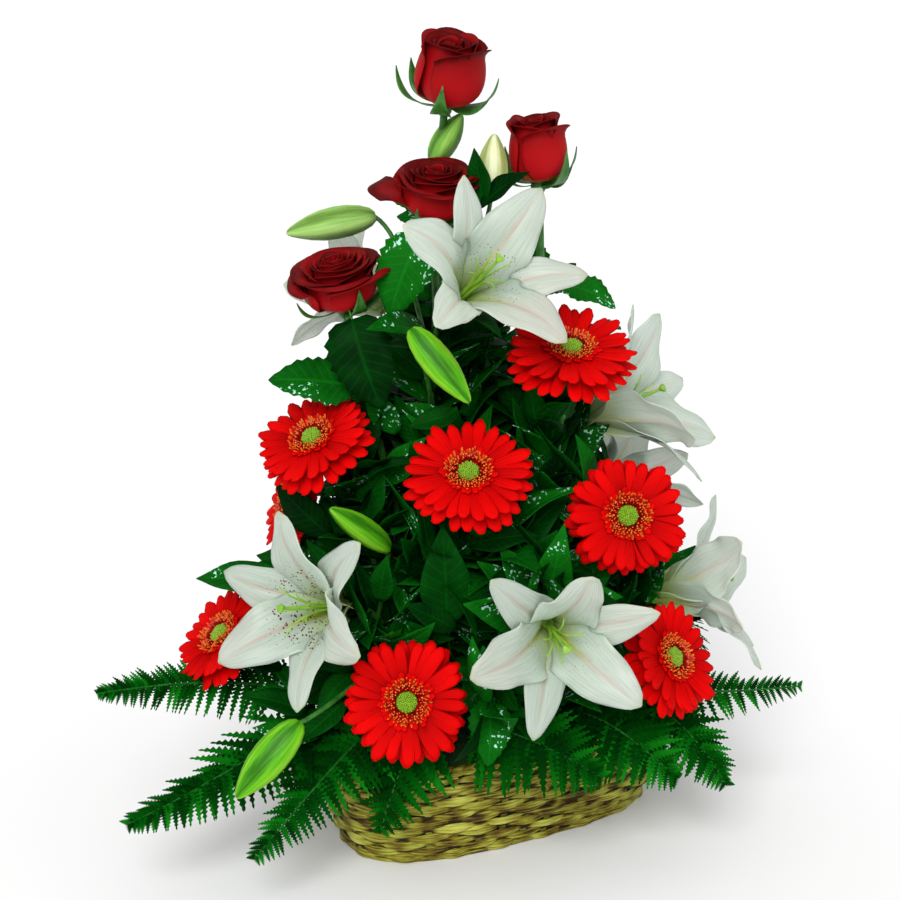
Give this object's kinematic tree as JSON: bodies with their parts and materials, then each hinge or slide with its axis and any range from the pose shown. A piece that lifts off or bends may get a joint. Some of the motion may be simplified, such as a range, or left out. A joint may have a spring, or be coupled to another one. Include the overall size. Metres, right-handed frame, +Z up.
{
  "type": "flower basket arrangement",
  "caption": "Tall one-sided arrangement of roses, gerberas and lilies over fern fronds, its stems standing in floral foam in a low oval wicker basket",
  "frame": {"origin": "centre of the basket's foot, on the surface that it stands on", "axes": "+Z up; X along the basket's long axis, +X to the right end as seen from its front; the flowers face -Y, turned 30 degrees towards -X"},
  "size_m": [0.6307, 0.4608, 0.6911],
  "materials": {
    "wicker": "woven flat strips, matt, pale tan with an olive cast",
    "liner": "thin dark green plastic",
    "foam": "wet green floral foam, fine open cells",
    "rose_petal": "soft velvety dark red petal",
    "gerbera_petal": "satin bright red ray",
    "lily_petal": "waxy greenish white petal with a pink midrib and dark red freckles",
    "lily_green": "smooth waxy fresh green",
    "stem": "smooth green stem",
    "leaf": "very dark glossy green leaf",
    "fern": "matt mid green frond"
  },
  "bodies": {
    "root": {"basket_border": "wicker", "basket_weave": "wicker", "floral_foam": "foam", "frond_back": "fern", "frond_back_left": "fern", "frond_back_right": "fern", "frond_front": "fern", "frond_front_left": "fern", "frond_front_right": "fern", "frond_left_base": "fern", "frond_left_lower": "fern", "frond_left_upper": "fern", "frond_right_lower": "fern", "frond_right_upper": "fern", "gerbera_behind_left_rays": "gerbera_petal", "gerbera_behind_left_stem": "stem", "gerbera_centre_rays": "gerbera_petal", "gerbera_centre_stem": "stem", "gerbera_lower_front_rays": "gerbera_petal", "gerbera_lower_front_stem": "stem", "gerbera_lower_left_rays": "gerbera_petal", "gerbera_lower_left_stem": "stem", "gerbera_lower_right_rays": "gerbera_petal", "gerbera_lower_right_stem": "stem", "gerbera_right_rays": "gerbera_petal", "gerbera_right_stem": "stem", "gerbera_top_right_rays": "gerbera_petal", "gerbera_top_right_stem": "stem", "gerbera_upper_left_rays": "gerbera_petal", "gerbera_upper_left_stem": "stem", "greens_back": "leaf", "greens_back_right": "leaf", "greens_front": "leaf", "greens_left": "leaf", "greens_right": "leaf", "lily_back_left_bloom": "lily_petal", "lily_back_left_stem": "lily_green", "lily_back_right_bloom": "lily_petal", "lily_back_right_stem": "lily_green", "lily_lower_front_bloom": "lily_petal", "lily_lower_front_stem": "lily_green", "lily_lower_left_bloom": "lily_petal", "lily_lower_left_stem": "lily_green", "lily_lower_right_bloom": "lily_petal", "lily_lower_right_stem": "lily_green", "lily_right_bloom": "lily_petal", "lily_right_stem": "lily_green", "lily_top_bloom": "lily_petal", "lily_top_stem": "lily_green", "liner": "liner", "rose_left_bloom": "rose_petal", "rose_left_stem": "stem", "rose_right_bloom": "rose_petal", "rose_right_stem": "stem", "rose_top_bloom": "rose_petal", "rose_top_stem": "stem", "rose_upper_bloom": "rose_petal", "rose_upper_stem": "stem"}
  },
  "joints": []
}
